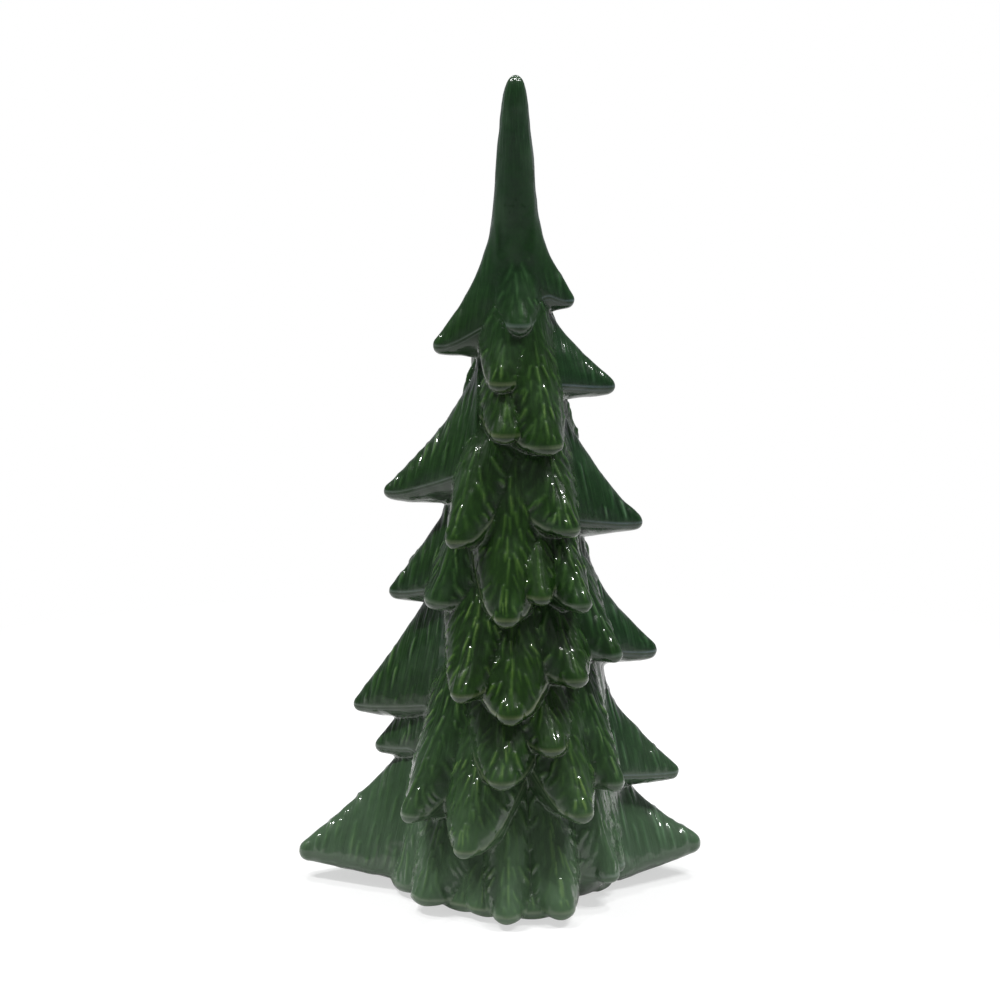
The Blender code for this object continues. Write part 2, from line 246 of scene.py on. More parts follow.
# The boughs in rings from the spire down: azimuth in degrees, lengths in mm, then bow and rim.
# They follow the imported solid's, with lower rims under the wings, and with a few boughs shifted or
# reshaped by some millimetres to match the photograph.
BOUGHS = (
    # Crown
    wing(-80, 30.8, 206.5, 260, 10.5, 1.85, 0.22),
    tongue(5, 20.5, 215.5, 246, 9, 4.4, 1.9, 0.35),
    wing(80, 22.5, 223, 264, 9, 2.0, 0.15),
    wing(130, 22, 221, 262, 9, 1.8),
    wing(182, 27, 214, 262, 10, 1.7),
    # Second ring
    tongue(-13, 27, 195, 230, 11.5, 5.4, rim=0.4),
    wing(84, 37.2, 191, 222, 15, 1.45),
    wing(138, 34, 193, 232, 14, 1.5),
    tongue(208, 29, 190, 226, 12, 4.6),
    # Third ring
    tongue(-8, 33, 177, 208, 12, 5.6, rim=0.3),
    tongue(21, 36, 173, 232, 14.5, 7.2, rim=0.2),
    wing(-90, 49.5, 150.5, 204, 21, 1.65, 0.24),
    tongue(128, 30, 168, 202, 11, 4.2),
    wing(172, 40, 166, 203, 15),
    tongue(220, 37, 160, 204, 14, 4.6),
    # Fourth ring
    tongue(-31, 45, 139, 190, 14.5, 4.8, 1.1),
    tongue(-4, 50, 112.5, 190, 19, 5.4, rim=0.55),
    tongue(29, 43, 143, 186, 15.5, 6.4, rim=0.3),
    wing(90, 48, 138.5, 190, 17, 1.6),
    wing(133, 45, 138, 186, 15, 1.5),
    wing(196, 45, 134, 176, 16),
    # Fifth ring
    wing(-85, 47.8, 113, 158, 18, 1.4, 0.15),
    tongue(-52, 40, 113.5, 156, 16, 9, rim=0.1),
    tongue(12, 48, 120, 160, 11.5, 4.6),
    tongue(32, 49, 116, 158, 12.5, 5),
    wing(91, 53.8, 88.5, 140, 18, 1.85),
    tongue(136, 42, 114, 150, 13, 4.6),
    wing(162, 50, 110, 152, 16),
    wing(234, 50, 116, 158, 16, 1.5),
    # Sixth ring
    wing(-92, 62, 67, 123, 20, 1.25),
    tongue(-22, 55, 84.5, 134, 18, 5.2, rim=0.5),
    tongue(-2, 57, 78, 130, 20, 5.2),
    tongue(27, 52, 89, 126, 17, 6, rim=0.4),
    tongue(54, 48, 94, 130, 16, 5),
    tongue(136, 49, 84, 122, 14, 5),
    wing(188, 56, 84, 130, 17),
    # Seventh ring
    wing(-89, 53.5, 51.5, 83, 16, 1.35),
    tongue(-5, 60, 54, 96, 16, 6.4),
    tongue(15, 56, 65, 100, 15, 6, rim=0.4),
    tongue(43, 57, 48.5, 100, 15, 5),
    wing(88, 63.2, 41.5, 82, 20, 1.7),
    wing(156, 60, 56, 98, 17, 1.6),
    wing(214, 60, 60, 104, 18, 1.5),
    # Eighth ring
    tongue(-41, 62, 38, 92, 16, 5),
    tongue(-17, 66, 29, 88, 18, 5.2),
    tongue(23, 65, 42, 102, 16, 5.6),
    wing(122, 60, 40, 72, 17, 1.7),
    wing(183, 66, 34, 78, 19),
    wing(232, 62, 40, 84, 17),
    # Skirt
    wing(-88, 83, 10, 64, 24, 1.45, -0.1),
    tongue(-60, 52, 4.6, 44, 16, 11, rim=0.1),
    tongue(-36, 59.5, 6, 58, 18, 8.2, rim=0.1),
    tongue(-22, 54, 4.6, 36, 15, 12, rim=0.1),
    tongue(-11, 57, 4.6, 40, 13, 9, rim=0.1),
    tongue(-3, 65.5, 5, 62, 13, 5.6, rim=0.1),
    tongue(7, 58.5, 4.5, 34, 13, 12, rim=0.1),
    tongue(16, 64, 5.5, 64, 14.5, 6.2, rim=0.1),
    tongue(44, 54, 12, 58, 15.5, 5.6, rim=0.1),
    tongue(57, 49, 12, 42, 14, 5, rim=0.1),
    wing(90, 72, 12, 46, 22, 1.75, -0.15),
    wing(122, 66, 10, 46, 19, rim=-0.1),
    wing(150, 71, 9, 52, 20, rim=-0.1),
    wing(180, 64, 7, 44, 19, rim=-0.1),
    wing(207, 72, 9, 54, 20, rim=-0.1),
    wing(240, 69, 11, 50, 20, rim=-0.1),
)


def trunk_outline():
    """The trunk as (height, radius) points from the nose down to below the table."""
    spire = [(TREE_HEIGHT - depth, radius) for depth, radius in SPIRE]
    shoulder, belly = (SHOULDER_HEIGHT, SHOULDER_RADIUS), (BELLY_HEIGHT, BELLY_RADIUS)
    return spire + [shoulder, belly, (0.0, FOOT_RADIUS), (-0.01, FOOT_RADIUS)]


def trunk_radius(height):
    outline = trunk_outline()[::-1]
    return np.interp(height, [h for h, _ in outline], [r for _, r in outline])


def extent(direction):
    return max(bough.reach * math.cos(bough.azimuth - direction) for bough in BOUGHS)


AXIS = np.array(
    (
        (extent(math.radians(-90)) - extent(math.radians(90))) / 2,
        (extent(0.0) - extent(math.radians(180))) / 2,
    )
)


# Mesh helpers


def linked(name, data):
    made = bpy.data.objects.new(name, data)
    bpy.context.scene.collection.objects.link(made)
    return made


def object_from(name, verts, faces):
    mesh = bpy.data.meshes.new(name)
    mesh.from_pydata(verts, [], faces)
    return linked(name, mesh)


def applied(obj):
    """Puts the object's modifiers into its mesh."""
    graph = bpy.context.evaluated_depsgraph_get()
    mesh = bpy.data.meshes.new_from_object(obj.evaluated_get(graph))
    old = obj.data
    obj.modifiers.clear()
    obj.data = mesh
    bpy.data.meshes.remove(old)


def numbers(items, field, kind=np.float32):
    """One field of every item in a mesh's list, end to end."""
    width = {"co": 3, "vector": 3, "vertices": 2}.get(field, 1)
    flat = np.empty(len(items) * width, kind)
    items.foreach_get(field, flat)
    return flat


def coordinates(mesh):
    return numbers(mesh.vertices, "co").reshape(-1, 3).astype(np.float64)


def normals(mesh):
    return numbers(mesh.vertex_normals, "vector").reshape(-1, 3).astype(np.float64)


def set_coordinates(mesh, points):
    mesh.vertices.foreach_set("co", points.astype(np.float32).ravel())
    mesh.update()


def edge_list(mesh):
    return numbers(mesh.edges, "vertices", np.int32).reshape(-1, 2)


def tube_faces(rings, count, start=0):
    """Faces over rings of count points, numbered from start, with both ends closed."""
    faces = []
    for k in range(rings - 1):
        corner = start + k * count
        for i in range(count):
            j = (i + 1) % count
            faces.append((corner + i, corner + count + i, corner + count + j, corner + j))
    last = start + (rings - 1) * count
    faces.append(tuple(range(start, start + count)))
    faces.append(tuple(reversed(range(last, last + count))))
    return faces


def from_axis(points):
    """(east, north) of each point from the trunk's axis."""
    return points[:, 0] - AXIS[0], points[:, 1] - AXIS[1]


def turned(radii, heights, count):
    """Rings of count points about the trunk's axis."""
    around = np.linspace(0, 2 * np.pi, count, endpoint=False)
    east = np.outer(radii, np.cos(around)).ravel() + AXIS[0]
    north = np.outer(radii, np.sin(around)).ravel() + AXIS[1]
    return np.stack([east, north, np.repeat(heights, count)], axis=1)


def smoothed(points, edges, rounds, share=0.5):
    """The points moved towards the mean of their neighbours, rounds times."""
    a, b = edges[:, 0], edges[:, 1]
    count = len(points)
    degree = np.maximum(np.bincount(a, minlength=count) + np.bincount(b, minlength=count), 1)
    for _ in range(rounds):
        mean = np.empty_like(points)
        for k in range(points.shape[1]):
            total = np.bincount(a, points[b, k], count) + np.bincount(b, points[a, k], count)
            mean[:, k] = total / degree
        points = points + share * (mean - points)
    return points


def noise(points, cell, seed):
    """Smooth value noise from -1 to 1 with cells of the given size."""
    table = np.random.default_rng(seed).uniform(-1, 1, 4096)
    q = points / cell
    low = np.floor(q).astype(np.int64)
    t = q - low
    t = t * t * (3 - 2 * t)
    total = np.zeros(len(points))
    for corner in range(8):
        step = np.array((corner & 1, corner >> 1 & 1, corner >> 2 & 1))
        at = low + step
        key = (at[:, 0] * 73856093) ^ (at[:, 1] * 19349663) ^ (at[:, 2] * 83492791)
        weight = np.prod(np.where(step, t, 1 - t), axis=1)
        total += weight * table[key & 4095]
    return total


def smoothstep(low, high, x):
    t = np.clip((x - low) / (high - low), 0, 1)
    return t * t * (3 - 2 * t)


def folded(points, cells, seeds):
    """Broad folds with sharp valleys, from about -1.4 to 1, in two sizes of cell."""
    coarse, fine = (noise(points, cell, seed) for cell, seed in zip(cells, seeds))
    return 0.6 - 1.6 * np.abs(coarse) + 0.4 * fine


def bump_shape(x):
    """A rounded ridge over -1 to 1."""
    return np.clip(1 - x * x, 0, 1) ** 2


# The casting's form


def tip_size(bough):
    """(length of the rounded end, half its thickness)."""
    if is_wing(bough):
        return bough.tip_half_width, bough.tip_half_width
    return min(bough.tip_half_width, TIP_THICKNESS), TIP_THICKNESS / 2


def face_end(bough, nose):
    """(radius, height) where the ridge runs smoothly into the round of the bough's nose."""
    root_radius = float(trunk_radius(bough.root_height))
    slope = 0.8
    for _ in range(8):
        end_radius = bough.reach - nose * (1 - math.sin(slope))
        end_height = bough.tip_height + nose * math.cos(slope)
        slope = math.atan2(bough.root_height - end_height, bough.bow * (end_radius - root_radius))
    return end_radius, end_height


def section(bough, radius):
    """(half width, ridge, rim, keel, arch) of a bough's cross-section at a distance from the axis.

    The keel falls towards the trunk, in the skirt down to the table.
    """
    cap, half_thickness = tip_size(bough)
    root_radius = float(trunk_radius(bough.root_height))
    tip_centre = bough.reach - cap
    fall = bough.root_height - bough.tip_height
    out = np.clip((radius - root_radius) / (tip_centre - root_radius), 0, 1)
    beyond = np.clip((radius - tip_centre) / cap, 0, 1)
    shrink = np.sqrt(1 - beyond**2)
    nose = cap if is_wing(bough) else TONGUE_NOSE
    past = np.clip((radius - bough.reach + nose) / nose, 0, 1)
    blunt = shrink if is_wing(bough) else (1 - past**TIP_BLUNTNESS) ** (1 / TIP_BLUNTNESS)
    end_radius, end_height = face_end(bough, nose)
    share = np.clip((radius - root_radius) / (end_radius - root_radius), 0, 1) ** (1 / bough.bow)
    ridge = bough.root_height - share * (bough.root_height - end_height)
    ridge = np.where(radius < end_radius, ridge, bough.tip_height + nose * np.sqrt(1 - past**2))
    rim = bough.tip_height + bough.rim * fall * (1 - out) ** RIM_CURVE
    drop = bough.tip_height - TIP_THICKNESS / 2 if in_skirt(bough) else KEEL_DROP
    keel = bough.tip_height - half_thickness * blunt - drop * (1 - out)
    spread = (1 - out) ** bough.fullness
    half_width = bough.tip_half_width + (bough.half_width - bough.tip_half_width) * spread
    inward = np.clip(radius / root_radius, ROOT_DEPTH, 1)
    arch = bough.arch + (ROUND_ARCH - bough.arch) * out**2
    return half_width * shrink * inward, ridge, rim, keel, arch


def bough_shell(bough, start):
    """(points, faces) of one bough's closed loft, its points numbered from start."""
    root_radius = float(trunk_radius(bough.root_height))
    cap = tip_size(bough)[0]
    tip_centre = bough.reach - cap
    shares = np.linspace(0, 1, 18) ** bough.bow
    stations = [ROOT_DEPTH * root_radius, *(root_radius + (tip_centre - root_radius) * shares)]
    stations += [tip_centre + cap * math.sin(math.radians(a)) for a in (18, 36, 52, 66, 78, 86)]
    outward = np.array((math.sin(bough.azimuth), -math.cos(bough.azimuth), 0.0))
    across = np.array((math.cos(bough.azimuth), math.sin(bough.azimuth), 0.0))
    around = np.radians(np.arange(0, 360, 12))
    cosine, sine = np.cos(around), np.sin(around)
    rings = []
    for radius in stations:
        half_width, ridge, rim, keel, arch = section(bough, radius)
        side = np.sign(cosine) * np.abs(cosine) ** (2 / arch)
        lift = np.sign(sine) * np.abs(sine) ** (2 / arch)
        height = rim + np.where(lift > 0, lift * (ridge - rim), lift * (rim - keel))
        ring = np.outer(side * half_width, across) + outward * radius
        ring[:, 2] += height
        rings.append(ring)
    points = np.concatenate(rings)
    points[:, :2] += AXIS
    return points, tube_faces(len(rings), len(around), start)


def trunk_shell(start):
    """(points, faces) of the turned trunk, with the kinks of its spire smoothed out."""
    outline = np.array(trunk_outline())
    stations = []
    for above, below in zip(outline, outline[1:]):
        steps = max(2, int((above[0] - below[0]) / 0.002))
        stations += [above + (below - above) * k / steps for k in range(steps)]
    heights, radii = np.array([*stations, outline[-1]]).T
    soft = radii.copy()
    for _ in range(14):
        soft[1:-1] = (soft[:-2] + 2 * soft[1:-1] + soft[2:]) / 4
    radii = np.where((heights > 0.190) & (heights < SPIRE_TOP), soft, radii)
    radii[0] = 0.0003
    count = 72
    return turned(radii, heights, count), tube_faces(len(heights), count, start)


def cutter(name, profile):
    """A turned cutter about the trunk's axis from (radius, height) points, top to bottom."""
    count = 96
    return object_from(name, turned(*zip(*profile), count), tube_faces(len(profile), count))


def foot_cutters():
    """The block below the foot, and the casting's inside with its drain hole and foot recess."""
    recess_height = FOOT_HEIGHT + RECESS_DEPTH
    floor_height = recess_height + FLOOR
    shoulder = SHOULDER_RADIUS - WALL
    apex = SHOULDER_HEIGHT + 4 * shoulder
    side = 0.2
    block = cutter("block", [(side, FOOT_HEIGHT), (side, -0.1)])
    inside = [
        (0.0004, apex),
        (0.3 * shoulder, apex - 0.3 * shoulder),
        (shoulder, SHOULDER_HEIGHT),
        (BELLY_RADIUS - WALL, BELLY_HEIGHT),
        (float(trunk_radius(floor_height)) - 2 * WALL, floor_height),
        (DRAIN_HOLE_RADIUS + 0.0008, floor_height),
        (DRAIN_HOLE_RADIUS, floor_height - 0.0008),
        (DRAIN_HOLE_RADIUS, recess_height + 0.0006),
        (DRAIN_HOLE_RADIUS + 0.0006, recess_height),
        (RECESS_RADIUS - 0.0008, recess_height),
        (RECESS_RADIUS, recess_height - 0.0006),
        (RECESS_RADIUS, -0.02),
    ]
    return block, cutter("inside", inside)


def raw_casting():
    """Trunk and boughs melted into one skin, then cut level and hollowed."""
    points, faces = [], []
    start = 0
    for bough in BOUGHS:
        more, quads = bough_shell(bough, start)
        points.append(more)
        faces += quads
        start += len(more)
    more, quads = trunk_shell(start)
    points.append(more)
    faces += quads
    casting = object_from("glazed_tree", np.concatenate(points), faces)
    remesh = casting.modifiers.new("melt", "REMESH")
    remesh.mode = "VOXEL"
    remesh.voxel_size = VOXEL
    applied(casting)
    mesh = casting.data
    set_coordinates(mesh, smoothed(coordinates(mesh), edge_list(mesh), SOFTENING))
    for tool in foot_cutters():
        cut = casting.modifiers.new("cut", "BOOLEAN")
        cut.operation = "DIFFERENCE"
        cut.solver = "MANIFOLD"
        cut.object = tool
        applied(casting)
        bpy.data.objects.remove(tool)
    return casting


# Needles


def in_bough(points, bough):
    """(distance out, distance aside, ridge and rim there, distance from the skin) of each point."""
    east, north = from_axis(points)
    radius = east * math.sin(bough.azimuth) - north * math.cos(bough.azimuth)
    aside = east * math.cos(bough.azimuth) + north * math.sin(bough.azimuth)
    half_width, ridge, rim, keel, arch = section(bough, radius)
    half_width = np.maximum(half_width, 1e-5)
    above = points[:, 2] - rim
    tall = np.where(above > 0, np.maximum(ridge - rim, 1e-5), np.maximum(rim - keel, 1e-5))
    s, t = np.abs(aside) / half_width, np.abs(above) / tall
    f = (s**arch + t**arch) ** (1 / arch)
    slope = np.sqrt((s / half_width) ** 2 + (t / tall) ** 2) + 1e-9
    off = np.abs((f - 1) * f / slope)
    off[radius > bough.reach + 0.0015] = 1.0
    off[radius < 0] = 1.0
    return radius, aside, ridge, rim, off


def owners(points):
    """The number of the bough that each point lies on, or -1 for the trunk."""
    best = np.abs(np.hypot(*from_axis(points)) - trunk_radius(points[:, 2]))
    owner = np.full(len(points), -1)
    for number, bough in enumerate(BOUGHS):
        off = in_bough(points, bough)[-1]
        nearer = off < best
        owner[nearer] = number
        best[nearer] = off[nearer]
    return owner


def slope_length(bough):
    """How much longer a bough's fall is along its front than straight down."""
    run = bough.reach - float(trunk_radius(bough.root_height))
    return math.hypot(1, run / (bough.root_height - bough.tip_height))


def skin_frame(bough, height, radius, aside, ridge):
    """(a, b) over a bough's skin in metres, b being the way its needles hang.

    On a wing, a runs out along the bough and b down its flank; on a tongue, a runs across and b down.
    """
    if is_wing(bough):
        return radius, np.hypot(aside, np.maximum(ridge - height, 0))
    return aside, (bough.root_height - height) * slope_length(bough)


def each_bough(points, owner):
    """(number, bough, its points' numbers, the points, distance out, height above rim, a, b)."""
    for number, bough in enumerate(BOUGHS):
        mine = np.nonzero(owner == number)[0]
        if len(mine):
            p = points[mine]
            radius, aside, ridge, rim, _ = in_bough(p, bough)
            a, b = skin_frame(bough, p[:, 2], radius, aside, ridge)
            yield number, bough, mine, p, radius, p[:, 2] - rim, a, b


def wing_strokes(bough, rng):
    """Rows of strokes down a wing's flanks, leaning out; broader and bolder in the skirt."""
    made = []
    broad = 1.5 if in_skirt(bough) else rng.uniform(0.9, 1.35)
    least = 0.55 if in_skirt(bough) else 0.20
    spacing = NEEDLE_SPACING * broad
    u = float(trunk_radius(bough.root_height)) * 0.7 + spacing * rng.uniform(0, 1)
    odd = False
    while u < bough.reach - 0.0012:
        b = rng.uniform(0.0004, 0.0018) if odd else rng.uniform(0.0022, 0.0048)
        while b < 0.045:
            length = rng.uniform(0.0060, 0.0125) * broad
            lean = WING_LEAN + rng.uniform(-0.09, 0.09)
            a = u + WING_LEAN * b + rng.uniform(-0.3, 0.3) * spacing
            wide = NEEDLE_HALF_WIDTH * broad * rng.uniform(0.75, 1.25)
            strength = least + (1 - least) * rng.uniform() ** 1.4
            made.append(Stroke(a, b, lean, length, wide, strength))
            b += length + rng.uniform(-0.001, 0.003)
        u += spacing * rng.uniform(0.8, 1.25)
        odd = not odd
    return made


def tongue_strokes(bough, rng):
    """A rib down the bough's middle, and rows of strokes that fan out from it like barbs."""
    made = []
    end = (bough.root_height - bough.tip_height) * slope_length(bough) + 0.002
    b = 0.35 * end
    while b < end - 0.002:
        length = rng.uniform(0.009, 0.014)
        a, lean, strength = rng.normal(0, 0.0004), rng.normal(0, 0.05), rng.uniform(0.5, 1.0)
        made.append(Stroke(a, b, lean, length, NEEDLE_HALF_WIDTH, strength))
        b += 0.7 * length
    b = 0.001
    while b < end:
        a = -bough.half_width + NEEDLE_SPACING * rng.uniform(0, 1)
        while a < bough.half_width:
            share = a / bough.half_width
            lean = TONGUE_SPREAD * math.tanh(4 * share) + rng.uniform(-0.12, 0.12)
            wide = NEEDLE_HALF_WIDTH * rng.uniform(0.7, 1.2)
            strength = 0.22 + 0.78 * rng.uniform() ** 1.4
            start = b + rng.uniform(-0.003, 0.003)
            made.append(Stroke(a, start, lean, rng.uniform(0.006, 0.015), wide, strength))
            a += NEEDLE_SPACING * rng.uniform(0.65, 1.15)
        b += rng.uniform(0.0050, 0.0075)
    return made


def stroke_relief(strokes, a, b):
    """(how far strokes raise each point at (a, b) on a skin, how far they lower it), from 0 to 1."""
    raised = np.zeros(len(a))
    furrow = np.zeros(len(a))
    for stroke in strokes:
        near = np.nonzero((np.abs(b - stroke.b - 0.009) < 0.013) & (np.abs(a - stroke.a) < 0.010))[0]
        if not len(near):
            continue
        size = math.hypot(1, stroke.lean)
        da, db = a[near] - stroke.a, b[near] - stroke.b
        x = (da - stroke.lean * db) / size
        y = (db + stroke.lean * da) / size
        along = smoothstep(0, 0.0014, y) * (1 - smoothstep(0.45 * stroke.length, stroke.length, y))
        wide = stroke.half_width * (0.5 + 0.5 * along)
        ridge_here = stroke.strength * along * bump_shape(x / wide)
        dip_here = stroke.strength * along * bump_shape((np.abs(x) - 1.7 * wide) / wide)
        raised[near] = np.maximum(raised[near], ridge_here)
        furrow[near] = np.maximum(furrow[near], dip_here)
    return raised, furrow * (raised < FURROW_LIMIT)


def proud_of_trunk(bough, radius):
    """0 where a bough leaves the trunk, 1 where it hangs free."""
    root = float(trunk_radius(bough.root_height))
    return smoothstep(root + 0.001, root + 0.007, radius)


def carve(points, owner):
    """(relief in metres, height of the needles from 0 to 1) at each point on a bough."""
    relief = np.zeros(len(points))
    needles = np.zeros(len(points))
    for number, bough, mine, p, radius, above, a, b in each_bough(points, owner):
        rng = np.random.default_rng(100 + number)
        a = a + NEEDLE_SWAY * noise(p, 0.006, 7 + number)
        strokes = wing_strokes(bough, rng) if is_wing(bough) else tongue_strokes(bough, rng)
        raised, furrow = stroke_relief(strokes, a, b)
        fade = smoothstep(*NEEDLES_FROM, above) * (1 - smoothstep(*NEEDLES_TO, p[:, 2]))
        fade = fade * (1 - 0.5 * smoothstep(*NEEDLES_CALM, p[:, 2]))
        needles[mine] = fade * (raised - 0.35 * furrow)
        relief[mine] = fade * (NEEDLE_HEIGHT * raised - FURROW_DEPTH * furrow)
        fan = np.stack([a, 0.16 * b, np.zeros(len(mine))], axis=1)
        pleats = folded(fan, PLEAT_CELLS, (300 + number, 400 + number))
        relief[mine] += PLEAT_DEPTH * (WING_PLEATS if is_wing(bough) else 1.0) * fade * pleats
        under = 1 - smoothstep(*UNDERSIDE_TO, above)
        relief[mine] += UNDERSIDE_WAVE * under * noise(p, 0.0038, 500 + number)
        bead = np.exp(-(((above + 0.0002) / BEAD_WIDTH) ** 2))
        bead -= 0.5 * np.exp(-(((above - 0.0021) / BEAD_WIDTH) ** 2))
        proud = proud_of_trunk(bough, radius) * (WING_BEAD if is_wing(bough) else 1.0)
        relief[mine] += RIM_BEAD * proud * bead
    return relief, needles


def glaze_places(points, owner):
    """(place, mm above the hem, how much its streaks show) of each point, for the glaze.

    The place is across and along the needles in mm, and the bough. Streaks show on the boughs' faces
    and at the spire's tip.
    """
    place = np.zeros((len(points), 3))
    hem = np.full(len(points), HEM_REACH)
    settled = np.ones(len(points))
    trunk = owner < 0
    east, north = from_axis(points[trunk])
    angle = np.arctan2(north, east)
    place[trunk] = np.stack([np.cos(angle) * 9, points[trunk, 2] / MM, np.sin(angle) * 9], axis=1)
    size = math.hypot(1, WING_LEAN)
    for number, bough, mine, p, radius, above, a, b in each_bough(points, owner):
        if is_wing(bough):
            a, b = (a - WING_LEAN * b) / size, (b + WING_LEAN * a) / size
        else:
            fall = (bough.root_height - bough.tip_height) * slope_length(bough)
            a = a * (1.6 - 1.1 * np.clip(b / fall, 0, 1))
        place[mine] = np.stack([a / MM, b / MM, np.full(len(mine), 7.3 * number)], axis=1)
        above = above / MM + 4 * (1 - proud_of_trunk(bough, radius))
        settled[mine] = smoothstep(-0.2, 1.2, above) * (1 - smoothstep(*STREAKS_TO, p[:, 2]))
        if not is_wing(bough):
            hem[mine] = above
        elif not in_skirt(bough):
            hem[mine] = WING_HEM * above
    settled[trunk] = smoothstep(*STREAKS_AGAIN, points[trunk, 2])
    return place, np.clip(hem, -HEM_REACH, HEM_REACH), settled


def trunk_folds(points, owner):
    """The upright folds of the trunk between the boughs, about as folded() has them."""
    beside = points - np.array((*AXIS, 0))
    beside[:, 2] *= 0.14
    folds = folded(beside, (0.0036, 0.0016), (93, 94))
    return np.where(owner < 0, folds * (1 - smoothstep(*FOLDS_TO, points[:, 2])), 0.0)


def spire_strokes(points, owner):
    """Faint upright brush marks on the bare trunk and spire."""
    east, north = from_axis(points)
    angle = np.arctan2(north, east)
    around = np.stack([np.cos(angle) * 0.010, np.sin(angle) * 0.010, points[:, 2] * 0.07], axis=1)
    marks = noise(around, 0.0016, 91) + 0.6 * noise(around, 0.0008, 92)
    return np.where(owner < 0, BRUSH_MARK * marks, 0.0)


def add_attribute(mesh, name, values):
    """A number or a vector at each vertex, for the materials."""
    kind, field = ("FLOAT", "value") if values.ndim == 1 else ("FLOAT_VECTOR", "vector")
    made = mesh.attributes.new(name, kind, "POINT")
    made.data.foreach_set(field, values.astype(np.float32).ravel())


def melted_crown(points, edges):
    """The points with the crown boughs' roots run into the spire, which keeps its thickness."""
    low, high = CROWN_ROOTS
    inside = np.nonzero(points[:, 2] > low - 0.02)[0]
    number = np.full(len(points), -1)
    number[inside] = np.arange(len(inside))
    near = number[edges]
    near = near[(near >= 0).all(axis=1)]
    soft = points[inside]
    for _ in range(CROWN_ROUNDS):
        soft = smoothed(soft, near, 1)
        soft = smoothed(soft, near, 1, -0.51)
    height = points[inside, 2]
    weight = smoothstep(low - 0.006, low + 0.004, height)
    weight = weight * (1 - smoothstep(high - 0.010, high, height))
    moved = points.copy()
    moved[inside] += weight[:, None] * (soft - points[inside])
    return moved


def tree_casting():
    """The whole casting with its relief, and the attributes that its glaze reads."""
    casting = raw_casting()
    mesh = casting.data
    edges = edge_list(mesh)
    points = coordinates(mesh)
    points[:, 2] += TIP_LOSS * smoothstep(*TIP_FROM, points[:, 2])
    inside = np.hypot(*from_axis(points)) < trunk_radius(points[:, 2]) - INSIDE_DEPTH
    inside &= points[:, 2] < INSIDE_TOP
    inside |= points[:, 2] < FOOT_HEIGHT + 0.00002
    near_foot = smoothstep(FOOT_HEIGHT + 0.0004, FOOT_HEIGHT + 0.002, points[:, 2])
    free = np.where(inside, 0.0, near_foot)
    owner = owners(points)
    relief, needles = carve(points, owner)
    folds = trunk_folds(points, owner)
    relief += spire_strokes(points, owner) + TRUNK_FOLD * folds
    needles += 0.35 * np.maximum(folds, 0)
    relief = smoothed(relief[:, None], edges, 1)[:, 0]
    points = np.where(inside[:, None], points, melted_crown(points, edges))
    set_coordinates(mesh, points)
    sway = 0.00035 * noise(points, 0.011, 3) + 0.00018 * noise(points, 0.005, 4)
    plain = smoothed(points, edges, 14)
    set_coordinates(mesh, points + normals(mesh) * (free * (relief + sway))[:, None])
    values = glaze_values(mesh, edges, plain, owner, needles)
    values["unglazed"] = np.where(inside, 1.0, 0.0)
    lighten(casting, values, owner)
    casting.data.shade_smooth()
    return casting


def glaze_values(mesh, edges, plain, owner, needles):
    """How thin and cool the glaze is at each point, the side boughs' coolness being painted reflection,
    and how much painted light from the table lightens it low down; plain is the skin without its
    relief.
    """
    points, normal = coordinates(mesh), normals(mesh)
    bulge = np.sum((points - smoothed(points, edges, 5)) * normal, axis=1)
    broad = np.sum((points - plain) * normal, axis=1)
    pooled = np.clip(-broad / POOLED, 0, 1)
    worn = np.clip(bulge / WORN, 0, 0.5)
    bare = 0.90 + 0.55 * noise(points, 0.014, 5)
    thin = np.clip(0.27 + 0.60 * needles * bare + 0.15 * worn - 0.30 * pooled, 0, 1)
    aside = [math.sin(bough.azimuth) for bough in BOUGHS]
    # Boughs at the sides turn bluer, more so on the right: a painted reflection. The trunk and crown
    # are bluish as well.
    cool_and_side_reflection = np.array([(0.58 + 0.20 * a) * a**2 for a in aside] + [TRUNK_COOL])[owner]
    cool_and_side_reflection = np.maximum(cool_and_side_reflection, CROWN_COOL * smoothstep(*CROWN_COOLS, points[:, 2]))
    cool_and_side_reflection = smoothed(cool_and_side_reflection[:, None], edges, 8)[:, 0]
    # Painted light: paler towards the table, standing for the light that the table bounces and mirrors
    painted_table_light = (1 - smoothstep(0.0, PAINTED_TABLE_LIGHT_TO, points[:, 2])) ** 3
    return {"thin": thin, "cool_and_side_reflection": cool_and_side_reflection, "painted_table_light": painted_table_light}


def lighten(casting, values, owner):
    """Decimates the casting, and gives each point left the glaze of the nearest old one."""
    points = coordinates(casting.data)
    shrink = casting.modifiers.new("lighter", "DECIMATE")
    shrink.ratio = min(1.0, FACE_TARGET / (2 * len(casting.data.polygons)))
    tree = KDTree(len(points))
    for number, point in enumerate(points):
        tree.insert(point, number)
    tree.balance()
    applied(casting)
    mesh = casting.data
    points = coordinates(mesh)
    nearest = np.array([tree.find(p)[1] for p in points])
    for name, at_points in values.items():
        add_attribute(mesh, name, at_points[nearest])
    owner = owner[nearest]
    place, hem, settled = glaze_places(points, owner)
    ends = edge_list(mesh)
    settled[ends[owner[ends[:, 0]] != owner[ends[:, 1]]].ravel()] = 0
    add_attribute(mesh, "place", place)
    add_attribute(mesh, "hem", hem)
    add_attribute(mesh, "settled", settled)


# Materials


def new_material(name):
    made = bpy.data.materials.new(name)
    made.use_nodes = True
    return made, made.node_tree, made.node_tree.nodes["Principled BSDF"]


def set_inputs(node, values):
    for name, value in values.items():
        node.inputs[name].default_value = value


